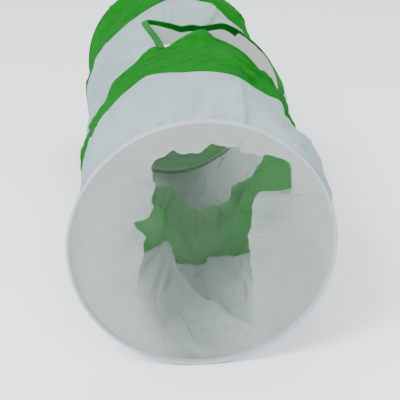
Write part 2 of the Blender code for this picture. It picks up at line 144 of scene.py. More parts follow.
# The cloth at the window's right stands out before it reaches the far edge
WINDOW_LIFT_SHARES = ((5, 0), (15, 0.08), (25, 0.12), (36, 0.10), (50, 0.05), (65, 0))
WINDOW_LIFT_CREST_SHARE = 0.30
WINDOW_LIFT_END_SHARE = 0.75
REAR_FOLD_SHARES = (
    (0, 0.04), (15, 0.03), (30, -0.05), (42, -0.10), (56, -0.10), (68, -0.06), (82, 0.02), (120, 0.03),
    (150, 0.03), (180, 0.05), (210, 0.04), (240, 0.02), (270, 0.01), (300, 0.02), (330, 0.04),
)
FOLD_CREST_SHARES = (0.24, 0.62, 0.58, 0.5)
# How the slack round the window pulls its edges askew at their far end: (degrees, how far)
WINDOW_TWIST_DEGREES = ((345, 0), (5, 14), (25, 38), (40, 31), (60, 21), (80, 12), (105, 4.5), (125, 0))
WINDOW_PULL = ((350, 0), (25, -0.018), (57, -0.018), (80, -0.018), (105, -0.020), (125, -0.016), (155, 0))

# The fold of slack cloth that stands on the floor inside the first section, from behind the mouth's
# right to its peak near the second hoop: (degrees, share of the section, height as share of radius)
FLOOR_FOLD_SHARES = (
    (218, 0.80, 0), (230, 0.80, 0.34), (238, 0.79, 0.50), (247, 0.75, 0.42), (257, 0.69, 0.29),
    (268, 0.62, 0.19), (279, 0.46, 0.12), (290, 0.32, 0.06), (300, 0.20, 0),
)
FLOOR_FOLD_WIDTH = 0.034
FLOOR_FOLD_POWER = 1.3
# Behind it the cloth climbs evenly to a ridge before the second hoop: (degrees, height)
FLOOR_RIDGE_SHARES = (
    (225, 0), (245, 0.24), (258, 0.24), (270, 0.24), (280, 0.30), (292, 0.27), (304, 0.23), (322, 0),
)
FLOOR_RIDGE_START_SHARE = 0.55
FLOOR_RIDGE_CREST_SHARE = 0.93
FLOOR_RIDGE_FOOT_SHARE = 0.25

# The mesh of the cloth, and the least gap between two of its rows in its map
COLUMNS = 480
ROW_STEP = 0.0036
HEM_ROWS = 5
LEAST_ROW_GAP = 0.0001
SHEET_THICKNESS = 0.0004

# Puckers that a seam draws into the cloth, and how near a seam or the window other wrinkles come
PUCKERS_ROUND = 150
PUCKER_DRIFT = 2.2
PUCKER_DRIFT_LENGTH = 0.05
PUCKER_HEIGHT = 0.0008
PUCKER_REACH = 0.012
WRINKLE_MARGIN = 0.016
WINDOW_MARGIN = 0.045

# Waves in the cloth: (height, length). The pinched ones fall away from sharp crests, the soft one is
# smooth
CLOTH_SEEDS = (11, 23, 37, 41)
PINCHED_WAVES = ((0.0011, 0.055), (0.0005, 0.024))
SOFT_WAVE = (0.0012, 0.11)
WAVE_SPREAD = 0.4
# Scattered creases
CREASE_COUNT = 40
CREASE_HEIGHT = 0.0022
CREASE_REACHES = (0.02, 0.07)
CREASE_WIDTHS = (0.003, 0.009)
CREASE_ROUNDING = 0.001

# Flat patches in the cloth: (how far apart, how steep)
FACETS = ((0.055, 0.10), (0.026, 0.06))
FACET_SOFTNESS = 0.35
# Pressed folds, steep on their left: (degrees, share of the section) of both ends, height and width;
# one that sinks has a height below zero
FOLD_LINES = (
    (
        ((70, 0.08), (67, 0.45), 0.012, 0.022), ((67, 0.45), (75, 0.83), 0.012, 0.028),
        ((58, 0.24), (68, 0.37), 0.009, 0.016), ((122, 0.86), (115, 0.51), 0.003, 0.010),
        ((104, 0.41), (89, 0.21), 0.004, 0.012), ((245, 0.67), (250, 0.17), -0.012, 0.012),
        ((236, 0.58), (231, 0.20), -0.007, 0.012), ((259, 0.48), (266, 0.19), -0.010, 0.010),
        ((276, 0.50), (299, 0.16), -0.009, 0.014), ((276, 0.50), (290, 0.47), -0.007, 0.010),
        ((271, 0.77), (282, 0.49), -0.006, 0.008), ((215, 0.39), (222, 0.77), -0.008, 0.012),
        ((12, 0.13), (352, 0.12), -0.004, 0.008),
    ),
    (((83, 0.74), (77, 0.38), -0.005, 0.014), ((67, 0.64), (57, 0.05), -0.006, 0.016),
     ((112, 0.54), (95, 0.30), 0.003, 0.012), ((280, 0.25), (262, 0.05), -0.008, 0.010),
     ((292, 0.45), (268, 0.22), -0.007, 0.010)),
    (((130, 0.30), (122, 0.75), 0.004, 0.014), ((150, 0.25), (140, 0.60), 0.004, 0.012)),
    (((120, 0.30), (105, 0.70), 0.004, 0.014), ((80, 0.25), (92, 0.80), -0.004, 0.014)),
)
STEEP_SIDE_SHARE = 0.22
FOLD_LINE_REACH = 1.1

# Tapes and their stitches
TAPE_EDGE_SHARE = 0.55
TAPE_BULGE = 0.0006
HEM_PUCKER = 0.00012
SEAM_PUCKER = 0.00008
TAPE_PUCKERS_ROUND = 250
THREAD_RADIUS = 0.00028
STITCH_SHARE = 0.72
STITCH_PITCH = 0.0032
BINDING_STITCH_PITCH = 0.003
PATCH_STITCH_PITCH = 0.0026
HEM_STITCH_INSET = 0.003
SEAM_STITCH_INSET = 0.002
BINDING_STITCH_LIFT = BINDING_STANDOFF + 0.0013
BINDING_STITCH_SHARES = (0.14, 0.86)
BINDING_STITCH_START = 0.004
PATCH_STITCH_LIFT = BINDING_STANDOFF + 0.0014
PATCH_STITCH_INSET_SHARE = 0.15

# Weaves of the fabrics
NYLON_WEAVE = 0.0011
TAPE_WEAVE = 0.0012
BINDING_WEAVE = 0.0016
WEAVE_DEPTH = 0.00006
BINDING_WEAVE_DEPTH = 0.00018
CLOTH_ROUGHNESS = 0.7
BINDING_ROUGHNESS = 0.65

# The camera, from the middle of the mouth's hoop
CAMERA_OFFSET = (-0.1265, -1.413, 0.722)
CAMERA_YAW = 0.085
CAMERA_PITCH = 0.415
FOCAL_PIXELS = 904
IMAGE_PIXELS = 400
SENSOR_WIDTH = 36.0

# The studio, with its lights as (name, place, what it faces, size, power)
FLOOR_REACH = 6.0
SKY_COLOUR = (0.93, 0.96, 1.0, 1)
SKY_STRENGTH = 1.8
LIGHTS = (
    ("key", (-1.5, -2.0, 2.4), (0, -0.2, 0.2), 1.2, 130),
    ("front", (0.2, -2.7, 1.0), (0, -0.3, 0.15), 1.0, 14),
    ("top", (0.2, 0.6, 2.6), (0, 0.1, 0.2), 1.4, 22),
)

CRIMP_BORE = WIRE_RADIUS + CLEARANCE
CRIMP_RADIUS = CRIMP_BORE + CRIMP_WALL
CHANNEL_RADIUS = CRIMP_RADIUS + CLEARANCE
RIM_RADIUS = CHANNEL_RADIUS + TAPE_THICKNESS
HEM_WIRE_RADIUS = TUNNEL_RADIUS - RIM_RADIUS
HEM_WIRE_INSET = RIM_RADIUS / math.cos(math.pi / CHANNEL_STEPS)
HEM_CLOTH_INSET = HEM_WIRE_INSET + CHANNEL_RADIUS + CLEARANCE
SEAM_CLOTH_RADIUS = TUNNEL_RADIUS - CLOTH_THICKNESS / 2
SEAM_EDGE_RADIUS = TUNNEL_RADIUS - CLOTH_THICKNESS - SEAM_ALLOWANCE
SEAM_WIRE_RADIUS = SEAM_EDGE_RADIUS - CLEARANCE - CHANNEL_RADIUS
SEAM_EDGE_OFFSET = (CLEARANCE + CLOTH_THICKNESS) / 2
HEM_RUN = HEM_DEPTH + HEM_RUN_OUT
SEAM_RUN = SEAM_EDGE_OFFSET + SEAM_RUN_OUT
GIRTH = 2 * math.pi * TUNNEL_RADIUS
LAST = len(SECTION_LENGTHS)
BODIES = ("mouth", "hoop_2", "hoop_3", "hoop_4", "rear")
DEGREES = np.arange(0, 360, 0.5)

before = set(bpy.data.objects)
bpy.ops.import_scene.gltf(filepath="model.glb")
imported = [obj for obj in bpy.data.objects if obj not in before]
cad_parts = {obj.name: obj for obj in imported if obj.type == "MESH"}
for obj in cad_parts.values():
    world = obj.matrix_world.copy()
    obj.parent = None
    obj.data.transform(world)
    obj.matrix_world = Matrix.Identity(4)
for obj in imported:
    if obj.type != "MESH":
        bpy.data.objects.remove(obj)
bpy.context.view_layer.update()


def round_curve(pairs, softness=SHAPE_SOFTNESS):
    """Values at each of DEGREES of a closed line through (degrees, value) pairs, with its corners
    rounded off."""
    places, values = zip(*pairs)
    line = np.interp(DEGREES, places, values, period=360)
    step = DEGREES[1]
    reach = int(4 * softness / step)
    weights = np.exp(-((np.arange(-reach, reach + 1) * step / softness) ** 2) / 2)
    wrapped = np.concatenate([line[-reach:], line, line[:reach]])
    return np.convolve(wrapped, weights / weights.sum(), "valid")


def at_angle(curve, angle):
    return np.interp(angle, DEGREES, curve, period=360)


def rounded_at(angle, pairs, softness):
    return at_angle(round_curve(pairs, softness), angle)


def hoop_frame(hoop):
    """Centre, turn and shape of a hoop, counted from the mouth."""
    low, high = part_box("front_hem")
    along = low.y + sum(SECTION_LENGTHS[:hoop])
    centre = np.array([(low.x + high.x) / 2 + HOOP_SWAYS[hoop], along, TUNNEL_RADIUS])
    return centre, HOOP_TURNS[hoop], 1 + round_curve(HOOP_SHAPE_SHARES[hoop])


HOOPS = [hoop_frame(hoop) for hoop in range(LAST + 1)]


def ring_points(centre, turn, shape, angle, along, radius):
    """Points round a ring whose middle, turn, shape and so on may differ from point to point."""
    slant = np.radians(angle)
    across = radius * shape * np.cos(slant)
    x = centre[..., 0] + across * np.cos(turn) - along * np.sin(turn)
    y = centre[..., 1] + across * np.sin(turn) + along * np.cos(turn)
    z = centre[..., 2] + radius * shape * np.sin(slant)
    return np.stack(np.broadcast_arrays(x, y, z), -1)


def hoop_points(hoop, angle, along, radius):
    centre, turn, shape = HOOPS[hoop]
    return ring_points(centre, turn, at_angle(shape, angle), angle, along, radius)


def straight_runs(section):
    """How far the cloth follows the hoop at each end of a section before it leaves for the other."""
    lead = HEM_RUN if section == 0 else SEAM_RUN
    tail = HEM_RUN if section == LAST - 1 else SEAM_RUN
    return lead, tail


def section_points(section, angle, along, radius):
    """Points of a section's cloth, which turns and sways evenly from one hoop to the next."""
    lead, tail = straight_runs(section)
    length = SECTION_LENGTHS[section]
    share = np.clip((along - lead) / (length - lead - tail), 0, 1)
    near, far = HOOPS[section], HOOPS[section + 1]
    centre = near[0] + share[..., None] * (far[0] - near[0])
    turn = near[1] + share * (far[1] - near[1])
    shape = (1 - share) * at_angle(near[2], angle) + share * at_angle(far[2], angle)
    return ring_points(centre, turn, shape, angle, along - share * length, radius)


def hump(share, start, crest, end):
    """A smooth rise from 0 at start to 1 at crest and back to 0 at end."""
    power = np.log(0.5) / np.log((crest - start) / (end - start))
    return np.sin(np.pi * np.clip((share - start) / (end - start), 0, 1) ** power) ** 2


def smooth_step(share):
    share = np.clip(share, 0, 1)
    return share * share * (3 - 2 * share)


def cloth_rows(section):
    """Distance along the section and radius of each row of its cloth: hems run straight in their
    slots, and seam edges turn in."""
    length = SECTION_LENGTHS[section]
    lead, tail = straight_runs(section)
    count = round((length - lead - tail) / ROW_STEP)
    rows = []
    if section == 0:
        starts = np.linspace(HEM_CLOTH_INSET, HEM_RUN, HEM_ROWS)[:-1]
        rows += [(along, HEM_WIRE_RADIUS) for along in starts]
    else:
        rows += turned_edge()
    near = HEM_WIRE_RADIUS if section == 0 else SEAM_CLOTH_RADIUS
    far = HEM_WIRE_RADIUS if section == LAST - 1 else SEAM_CLOTH_RADIUS
    for i in range(count + 1):
        rows.append((lead + (length - lead - tail) * i / count, near + (far - near) * i / count))
    if section == LAST - 1:
        ends = np.linspace(length - HEM_RUN, length - HEM_CLOTH_INSET, HEM_ROWS)[1:]
        rows += [(along, HEM_WIRE_RADIUS) for along in ends]
    else:
        rows += [(length - along, radius) for along, radius in turned_edge()[::-1]]
    alongs, radii = (np.array(values) for values in zip(*rows))
    if section == 2:
        alongs[np.argmin(np.abs(alongs - WINDOW_REACH))] = WINDOW_REACH
    return alongs, radii


def turned_edge():
    """The seam's edge, which turns in round a small corner."""
    bend = SEAM_RUN_OUT / 4
    rows = [(SEAM_EDGE_OFFSET, SEAM_EDGE_RADIUS), (SEAM_EDGE_OFFSET, SEAM_CLOTH_RADIUS - 2 * bend)]
    for angle in (0, 30, 60, 90):
        turn = math.radians(angle)
        along = SEAM_EDGE_OFFSET + bend * (1 - math.cos(turn))
        rows.append((along, SEAM_CLOTH_RADIUS - bend * (1 - math.sin(turn))))
    return rows


def floor_fold(angle, share):
    """Height, as a share of the radius, of the fold that stands on the floor inside the mouth."""
    places, middles, heights = zip(*FLOOR_FOLD_SHARES)
    middle = np.interp(angle, places, middles)
    height = rounded_at(angle, list(zip(places, heights)), RIDGE_SOFTNESS)
    away = (share - middle) * SECTION_LENGTHS[0] / FLOOR_FOLD_WIDTH
    fold = height * np.exp(-np.abs(away) ** FLOOR_FOLD_POWER)
    ridge = rounded_at(angle, FLOOR_RIDGE_SHARES, FLOOR_RIDGE_SOFTNESS)
    slope = FLOOR_RIDGE_CREST_SHARE - FLOOR_RIDGE_START_SHARE
    climb = smooth_step((share - FLOOR_RIDGE_START_SHARE) / slope)
    fall = smooth_step((1 - share) / (1 - FLOOR_RIDGE_CREST_SHARE) - FLOOR_RIDGE_FOOT_SHARE)
    return np.maximum(fold, ridge * climb * fall)


def hang(section, angle, share):
    """How slack cloth leaves its place: how far it turns in degrees, how far it hangs in as a share
    of the radius, and how far it moves along the tunnel."""
    lead, tail = straight_runs(section)
    start = lead / SECTION_LENGTHS[section]
    end = 1 - tail / SECTION_LENGTHS[section]
    crest = FOLD_CREST_SHARES[section]
    still = 0 * angle * share
    if section == 0:
        rise = hump(share, start, crest, rounded_at(angle, MOUTH_FOLD_END_SHARES, FOLD_SOFTNESS))
        turns = rounded_at(angle, [(at, to - at) for at, to, _ in MOUTH_CREST_SHARES], CREST_SOFTNESS)
        depths = rounded_at(angle, [(at, 1 - out) for at, _, out in MOUTH_CREST_SHARES], CREST_SOFTNESS)
        middle = (MOUTH_SWELL_START_SHARE + 1) / 2
        swell = rounded_at(angle, MOUTH_SWELL_SHARES, SHAPE_SOFTNESS)
        swell = swell * hump(share, MOUTH_SWELL_START_SHARE, middle, end)
        depth = depths * rise - swell + floor_fold(angle, share)
        # Behind its crest the fold turns back sooner than it comes out
        return turns * np.where(share > crest, rise**3, rise), depth, still
    shares = (SECOND_FOLD_SHARES, THIRD_FOLD_SHARES, REAR_FOLD_SHARES)[section - 1]
    rise = hump(share, start, crest, end)
    depth = rounded_at(angle, shares, FOLD_SOFTNESS) * rise
    if section == 1:
        ridge = rounded_at(angle, SECOND_RIDGE_SHARES, RIDGE_SOFTNESS)
        ridge = ridge * hump(share, SECOND_RIDGE_START_SHARE, SECOND_RIDGE_CREST_SHARE, end)
        depth = np.maximum(depth, ridge)
    if section == 2:
        sag = rounded_at(angle, WINDOW_SAG_SHARES, FOLD_SOFTNESS)
        depth = depth + sag * hump(share, WINDOW_SAG_START_SHARE, WINDOW_SAG_CREST_SHARE, end)
        lift = rounded_at(angle, WINDOW_LIFT_SHARES, FOLD_SOFTNESS)
        depth = depth - lift * hump(share, start, WINDOW_LIFT_CREST_SHARE, WINDOW_LIFT_END_SHARE)
        turn = rounded_at(angle, WINDOW_TWIST_DEGREES, WINDOW_SOFTNESS) * rise**0.75
        return turn, depth, rounded_at(angle, WINDOW_PULL, WINDOW_SOFTNESS) * rise
    return still, depth, still


def random_field(shape, spacing, wavelength, rng):
    """A random field whose waves are about this long, closed round the columns."""
    around = np.fft.fftfreq(shape[0], spacing[0])[:, None]
    along = np.fft.fftfreq(shape[1], spacing[1])[None, :]
    pitch = np.hypot(around, along) * wavelength
    band = np.exp(-(((pitch - 1) / WAVE_SPREAD) ** 2))
    field = np.fft.ifft2(np.fft.fft2(rng.normal(size=shape)) * band).real
    return field / field.std()


def across_from(around, place):
    """How far round the tunnel these places are from another, by the shorter way."""
    return (around - place + GIRTH / 2) % GIRTH - GIRTH / 2


def crease_field(around, along, rng):
    """Straight pinched creases, scattered over the cloth."""
    field = np.zeros(np.broadcast_shapes(around.shape, along.shape))
    for _ in range(CREASE_COUNT):
        place = rng.uniform(0, GIRTH), rng.uniform(0, along.max())
        slant = rng.uniform(0, math.pi)
        reach = rng.uniform(*CREASE_REACHES)
        width = rng.uniform(*CREASE_WIDTHS)
        rise = CREASE_HEIGHT * rng.uniform(-1, 1)
        across = across_from(around, place[0])
        ahead = along - place[1]
        beside = ahead * math.cos(slant) - across * math.sin(slant)
        forth = across * math.cos(slant) + ahead * math.sin(slant)
        pinch = np.exp(-(np.hypot(beside, CREASE_ROUNDING) - CREASE_ROUNDING) / width)
        field = field + rise * pinch * np.exp(-((forth / reach) ** 4))
    return field


def facet_field(around, along, pitch, tilt, rng):
    """Small flat patches, each tilted its own way, that meet in crisp creases."""
    count = round(GIRTH * along.max() / pitch**2)
    seeds = rng.uniform((0, 0), (GIRTH, along.max()), (count, 2))
    tilts = rng.normal(0, tilt, (count, 2))
    shape = np.broadcast_shapes(around.shape, along.shape)
    nearest = np.full(shape, np.inf)
    for place in seeds:
        across = across_from(around, place[0])
        nearest = np.minimum(nearest, across**2 + (along - place[1]) ** 2)
    field, total = np.zeros(shape), np.zeros(shape)
    for place, slope in zip(seeds, tilts):
        across = across_from(around, place[0])
        ahead = along - place[1]
        weight = np.exp((nearest - across**2 - ahead**2) / (FACET_SOFTNESS * pitch) ** 2)
        field += weight * (across * slope[0] + ahead * slope[1])
        total += weight
    return field / total


def fold_line(around, along, line, length):
    """A pressed fold, steep on one side: (degrees, share) of its two ends, height and width."""
    (angle, share), (last_angle, last_share), height, width = line
    start = np.array([math.radians(angle) * TUNNEL_RADIUS, share * length])
    way = np.array([math.radians(last_angle) * TUNNEL_RADIUS, last_share * length]) - start
    reach = np.hypot(*way)
    way /= reach
    across = across_from(around, start[0])
    ahead = along - start[1]
    forth = across * way[0] + ahead * way[1]
    beside = across * way[1] - ahead * way[0]
    slow = np.exp(-np.maximum(beside, 0) / width)
    steep = np.exp(-np.maximum(-beside, 0) / (width * STEEP_SIDE_SHARE))
    middle = (forth / reach - 0.5) * 2
    return height * slow * steep * np.exp(-np.abs(middle / FOLD_LINE_REACH) ** 4)


def grid_normals(grid):
    around = np.roll(grid, -1, 0) - np.roll(grid, 1, 0)
    along = np.gradient(grid, axis=1)
    normals = np.cross(along, around)
    return normals / np.maximum(np.linalg.norm(normals, axis=-1, keepdims=True), 1e-12)


def window_gap(angle, along):
    """How far from the window these places of the third section's cloth are."""
    half = (WINDOW_LEFT - WINDOW_RIGHT) / 2
    beside = np.abs((angle - WINDOW_RIGHT - half + 180) % 360 - 180) - half
    return np.hypot(np.radians(np.maximum(beside, 0)) * TUNNEL_RADIUS, np.maximum(along - WINDOW_REACH, 0))


class Cloth:
    """One section's cloth: its grid of points, their outward normals and each row's distance along."""

    def __init__(self, section, seed):
        length = SECTION_LENGTHS[section]
        self.section = section
        self.alongs, radii = cloth_rows(section)
        along = self.alongs[None, :]
        angle = (np.arange(COLUMNS) * 360 / COLUMNS)[:, None]
        turn, depth, shift = hang(section, angle, along / length)
        place = section_points(section, angle + turn, along + shift, radii[None, :] * (1 - depth))
        rng = np.random.default_rng(seed)
        around = np.radians(angle) * TUNNEL_RADIUS
        spacing = (around[1, 0], ROW_STEP)
        shape = place.shape[:2]
        wrinkles = np.zeros(shape)
        for height, wavelength in PINCHED_WAVES:
            wrinkles -= height * np.abs(random_field(shape, spacing, wavelength, rng))
        wrinkles += SOFT_WAVE[0] * random_field(shape, spacing, SOFT_WAVE[1], rng)
        wrinkles += crease_field(around, along, rng)
        for pitch, tilt in FACETS:
            wrinkles += facet_field(around, along, pitch, tilt, rng)
        for line in FOLD_LINES[section]:
            wrinkles += fold_line(around, along, line, length)
        lead, tail = straight_runs(section)
        free = np.minimum(along - lead, length - tail - along)
        if section == 2:
            wrinkles = wrinkles * smooth_step(window_gap(angle, along) / WINDOW_MARGIN)
        drift = random_field((COLUMNS, 1), spacing, PUCKER_DRIFT_LENGTH, rng)
        waves = PUCKERS_ROUND * np.radians(angle) + PUCKER_DRIFT * drift
        pucker = PUCKER_HEIGHT * np.sin(waves) * np.exp(-np.abs(free) / PUCKER_REACH)
        wrinkles = wrinkles * smooth_step(free / WRINKLE_MARGIN) + pucker * smooth_step(free / SEAM_RUN_OUT)
        normals = grid_normals(place)
        self.grid = place + normals * wrinkles[..., None]
        self.grid[..., 2] = np.maximum(self.grid[..., 2], SHEET_THICKNESS)
        self.normals = grid_normals(self.grid)
        self.around = around[:, 0]

    def at(self, angle, along, offset=0.0):
        """Points beside the cloth, at these angles and distances of its own."""
        angle, along = np.broadcast_arrays(np.asarray(angle, float), np.asarray(along, float))
        column = angle / 360 * COLUMNS
        row = np.interp(along, self.alongs + np.arange(len(self.alongs)) * 1e-7, np.arange(len(self.alongs)))
        c, r = np.floor(column).astype(int), np.minimum(np.floor(row).astype(int), len(self.alongs) - 2)
        s, t = (column - c)[..., None], (row - r)[..., None]
        c, after = c % COLUMNS, (c + 1) % COLUMNS

        def mixed(values):
            near = (1 - s) * values[c, r] + s * values[after, r]
            far = (1 - s) * values[c, r + 1] + s * values[after, r + 1]
            return (1 - t) * near + t * far

        normals = mixed(self.normals)
        normals = normals / np.linalg.norm(normals, axis=-1, keepdims=True)
        return mixed(self.grid) + normals * np.asarray(offset)[..., None], normals


def new_object(name, data):
    made = bpy.data.objects.new(name, data)
    bpy.context.scene.collection.objects.link(made)
    return made


def new_piece(name, points, faces, finish, uvs=None):
    mesh = bpy.data.meshes.new(name)
    used, index = np.unique(np.concatenate([np.ravel(f) for f in faces]), return_inverse=True)
    starts = np.cumsum([0] + [len(f) for f in faces])
    remade = [index[a:b].tolist() for a, b in zip(starts, starts[1:])]
    mesh.from_pydata(points[used].tolist(), [], remade)
    if uvs is not None:
        layer = mesh.uv_layers.new(name="cloth")
        layer.uv.foreach_set("vector", np.asarray(uvs, np.float32).ravel())
    mesh.materials.append(finish)
    mesh.shade_smooth()
    return new_object(name, mesh)


def grid_faces(columns, rows, closed, present=None):
    """Quads of a grid, facing out of the tunnel, and the column and row of each."""
    c, r = np.meshgrid(np.arange(columns if closed else columns - 1), np.arange(rows - 1), indexing="ij")
    c, r = c.ravel(), r.ravel()
    if present is not None:
        kept = present(c, r)
        c, r = c[kept], r[kept]
    after = (c + 1) % columns
    faces = np.stack([c * rows + r, c * rows + r + 1, after * rows + r + 1, after * rows + r], 1)
    return faces, c, r


def cloth_piece(name, cloth, finish, inside):
    columns, rows = cloth.grid.shape[:2]
    step = 360 / COLUMNS

    def present(c, r):
        angle = (c + 0.5) * step
        beside = (angle <= WINDOW_RIGHT) | (angle >= WINDOW_LEFT)
        return beside | (cloth.alongs[r] >= WINDOW_REACH - 1e-6)

    faces, c, r = grid_faces(columns, rows, True, present if cloth.section == 2 else None)
    width = cloth.around[1]
    lengths = np.concatenate([[0], np.cumsum(np.hypot(np.diff(cloth.alongs), LEAST_ROW_GAP))])
    u = np.stack([c, c, c + 1, c + 1], 1) * width
    v = np.stack([lengths[r], lengths[r + 1], lengths[r + 1], lengths[r]], 1)
    piece = new_piece(name, cloth.grid.reshape(-1, 3), faces, finish, np.stack([u, v], -1).reshape(-1, 2))
    # The second finish is for the inside faces: painted shade on the white sections, painted light on the
    # green ones.
    piece.data.materials.append(inside)
    solid = piece.modifiers.new("thickness", "SOLIDIFY")
    solid.thickness = SHEET_THICKNESS
    solid.offset = 0
    solid.material_offset = 1
    return piece


def closed_strip(name, under, over, finish):
    """A closed strip between two grids of points, which meet all round its edge."""
    columns, rows = under.shape[:2]
    top = grid_faces(columns, rows, False)[0]
    count = columns * rows
    ring = [(i, 0) for i in range(columns)] + [(columns - 1, j) for j in range(1, rows)]
    ring += [(i, rows - 1) for i in range(columns - 2, -1, -1)] + [(0, j) for j in range(rows - 2, 0, -1)]
    ring = [i * rows + j for i, j in ring]
    sides = [(a, b, b + count, a + count) for a, b in zip(ring, ring[1:] + ring[:1])]
    faces = [*(top + count), *top[:, ::-1], *sides]
    lift = np.linalg.norm(np.diff(under, axis=0), axis=-1).mean()
    run = np.linalg.norm(np.diff(under, axis=1), axis=-1).mean()
    uv = np.stack(np.meshgrid(np.arange(columns) * lift, np.arange(rows) * run, indexing="ij"), -1)
    uv = np.concatenate([uv.reshape(-1, 2)] * 2)
    loops = np.concatenate([np.ravel(f) for f in faces])
    points = np.concatenate([under.reshape(-1, 3), over.reshape(-1, 3)])
    return new_piece(name, points, faces, finish, uv[loops])


def tape_on_cloth(name, cloth, angles, alongs, finish):
    """A flat tape that lies on the cloth. Angles and distances are grids; the first axis crosses it."""
    under, _ = cloth.at(angles, alongs, BINDING_STANDOFF)
    across = np.linspace(-1, 1, under.shape[0])[:, None]
    thickness = TAPE_THICKNESS * (TAPE_EDGE_SHARE + (1 - TAPE_EDGE_SHARE) * (1 - across**6))
    thickness = thickness + TAPE_BULGE * (1 - across**2)
    over, _ = cloth.at(angles, alongs, BINDING_STANDOFF + np.broadcast_to(thickness, under.shape[:2]))
    return closed_strip(name, under, over, finish)


def binding_on_edge(name, cloth, place, finish):
    """A tape folded round the cloth's edge. place() gives the angles and distances along the cloth of
    a line this far in from the edge."""
    leg = np.linspace(BINDING_WIDTH, TAPE_THICKNESS, 7)
    turn = np.radians(np.linspace(-90, 90, 7))
    steps = []
    for reach, extra in ((BINDING_STANDOFF, 0.0), (BINDING_STANDOFF + TAPE_THICKNESS, TAPE_THICKNESS / 4)):
        swell = extra * (1 - np.linspace(1, 0, len(leg)) ** 4)
        distances = np.concatenate([leg, -reach * np.cos(turn), leg[::-1]])
        offsets = np.concatenate([-(reach + swell), reach * np.sin(turn), (reach + swell)[::-1]])
        steps.append((distances[:, None], offsets[:, None]))
    grids = []
    for distances, offsets in steps:
        angles, alongs = np.broadcast_arrays(*place(distances))
        grids.append(cloth.at(angles, alongs, np.broadcast_to(offsets, angles.shape))[0])
    return closed_strip(name, grids[0], grids[1], finish)


def sweep(name, hoop, outline, steps, finish, pucker=0.0):
    """Sweeps a closed outline of (along, radius) points round a hoop, with small puckers."""
    angle = (np.arange(steps) * 360 / steps)[:, None]
    along, radius = (np.array(values)[None, :] for values in zip(*outline))
    drift = 1.3 * np.sin(np.radians(angle) * 17)
    ripple = pucker * np.sin(np.radians(angle) * TAPE_PUCKERS_ROUND + drift)
    points = hoop_points(hoop, angle, along, radius + ripple)
    points[..., 2] = np.maximum(points[..., 2], 0)
    corners = points.shape[1]
    c, r = np.meshgrid(np.arange(steps), np.arange(corners), indexing="ij")
    c, r = c.ravel(), r.ravel()
    after, beyond = (c + 1) % steps, (r + 1) % corners
    near, far = c * corners, after * corners
    faces = np.stack([near + r, near + beyond, far + beyond, far + r], 1)
    middle = np.array([along.mean(), radius.mean()])
    area = 0.0
    for (a1, r1), (a2, r2) in zip(outline, outline[1:] + outline[:1]):
        area += (a1 - middle[0]) * (r2 - middle[1]) - (a2 - middle[0]) * (r1 - middle[1])
    if area > 0:
        faces = faces[:, ::-1]
    width = GIRTH / steps
    sides = np.hypot(np.diff(along[0], append=along[0, 0]), np.diff(radius[0], append=radius[0, 0]))
    lengths = np.concatenate([[0], np.cumsum(sides)])
    u = np.stack([c, c, c + 1, c + 1], 1) * width
    v = np.stack([lengths[r], lengths[r + 1], lengths[r + 1], lengths[r]], 1)
    if area > 0:
        u, v = u[:, ::-1], v[:, ::-1]
    return new_piece(name, points.reshape(-1, 3), faces, finish, np.stack([u, v], -1).reshape(-1, 2))


def arc(radius, opening, steps):
    """Points round a wire, from one side of a slot this wide towards +X to its other side."""
    start = math.asin(opening / 2 / radius)
    angles = [start + (2 * math.pi - 2 * start) * i / steps for i in range(steps + 1)]
    return [(radius * math.cos(a), radius * math.sin(a)) for a in angles]


def channel_outline(slot, leg):
    """Cross-section of a folded tape: a round fold for the wire, and two legs either side of a slot."""
    outer = arc(RIM_RADIUS, slot + 2 * TAPE_THICKNESS, 20)
    inner = arc(CHANNEL_RADIUS, slot, 16)
    outer_leg = slot / 2 + TAPE_THICKNESS
    along = [leg + (outer[0][0] - leg) * i / 6 for i in range(6)]
    tip = TAPE_THICKNESS / 4
    outline = [(leg, outer_leg - tip), (leg - tip, outer_leg)]
    outline += [(a, outer_leg) for a in along[1:]] + outer
    outline += [(a, -outer_leg) for a in along[:0:-1]] + [(leg - tip, -outer_leg), (leg, -outer_leg + tip)]
    outline += [(leg, -slot / 2), *inner[::-1], (leg, slot / 2)]
    return outline


def add_stitches(name, path, normals, pitch, finish, closed=False):
    """Separate stitches of thread along a line of points, lying on a surface with these normals."""
    if closed:
        path = np.concatenate([path, path[:1]])
        normals = np.concatenate([normals, normals[:1]])
    runs = np.concatenate([[0], np.cumsum(np.linalg.norm(np.diff(path, axis=0), axis=1))])
    count = max(int(runs[-1] / pitch), 1)
    places = (np.arange(count) + 0.5) * runs[-1] / count
    half = STITCH_SHARE / 2 * runs[-1] / count

    def along_path(values, at):
        return np.stack([np.interp(at, runs, values[:, i]) for i in range(3)], 1)

    middle = along_path(path, places)
    forward = along_path(path, places + half) - along_path(path, places - half)
    forward /= np.linalg.norm(forward, axis=1, keepdims=True)
    up = along_path(normals, places)
    up -= (up * forward).sum(1, keepdims=True) * forward
    up /= np.linalg.norm(up, axis=1, keepdims=True)
    side = np.cross(forward, up)
    sides = 6
    rings = ((-1.0, 0.35, -0.6), (-0.75, 0.9, 0.2), (0.0, 1.0, 0.5), (0.75, 0.9, 0.2), (1.0, 0.35, -0.6))
    points = []
    for ahead, size, lift in rings:
        for i in range(sides):
            turn = 2 * math.pi * i / sides
            out = side * math.cos(turn) * size + up * (math.sin(turn) * size + lift)
            points.append(middle + forward * ahead * half + out * THREAD_RADIUS)
    points = np.stack(points, 1)
    one = []
    for ring in range(len(rings) - 1):
        for i in range(sides):
            j = (i + 1) % sides
            one.append((ring * sides + i, ring * sides + j, (ring + 1) * sides + j, (ring + 1) * sides + i))
    one.append(tuple(range(sides))[::-1])
    one.append(tuple((len(rings) - 1) * sides + i for i in range(sides)))
    faces = [tuple(k + stitch * points.shape[1] for k in face) for stitch in range(count) for face in one]
    return new_piece(name, points.reshape(-1, 3), faces, finish)


# Materials


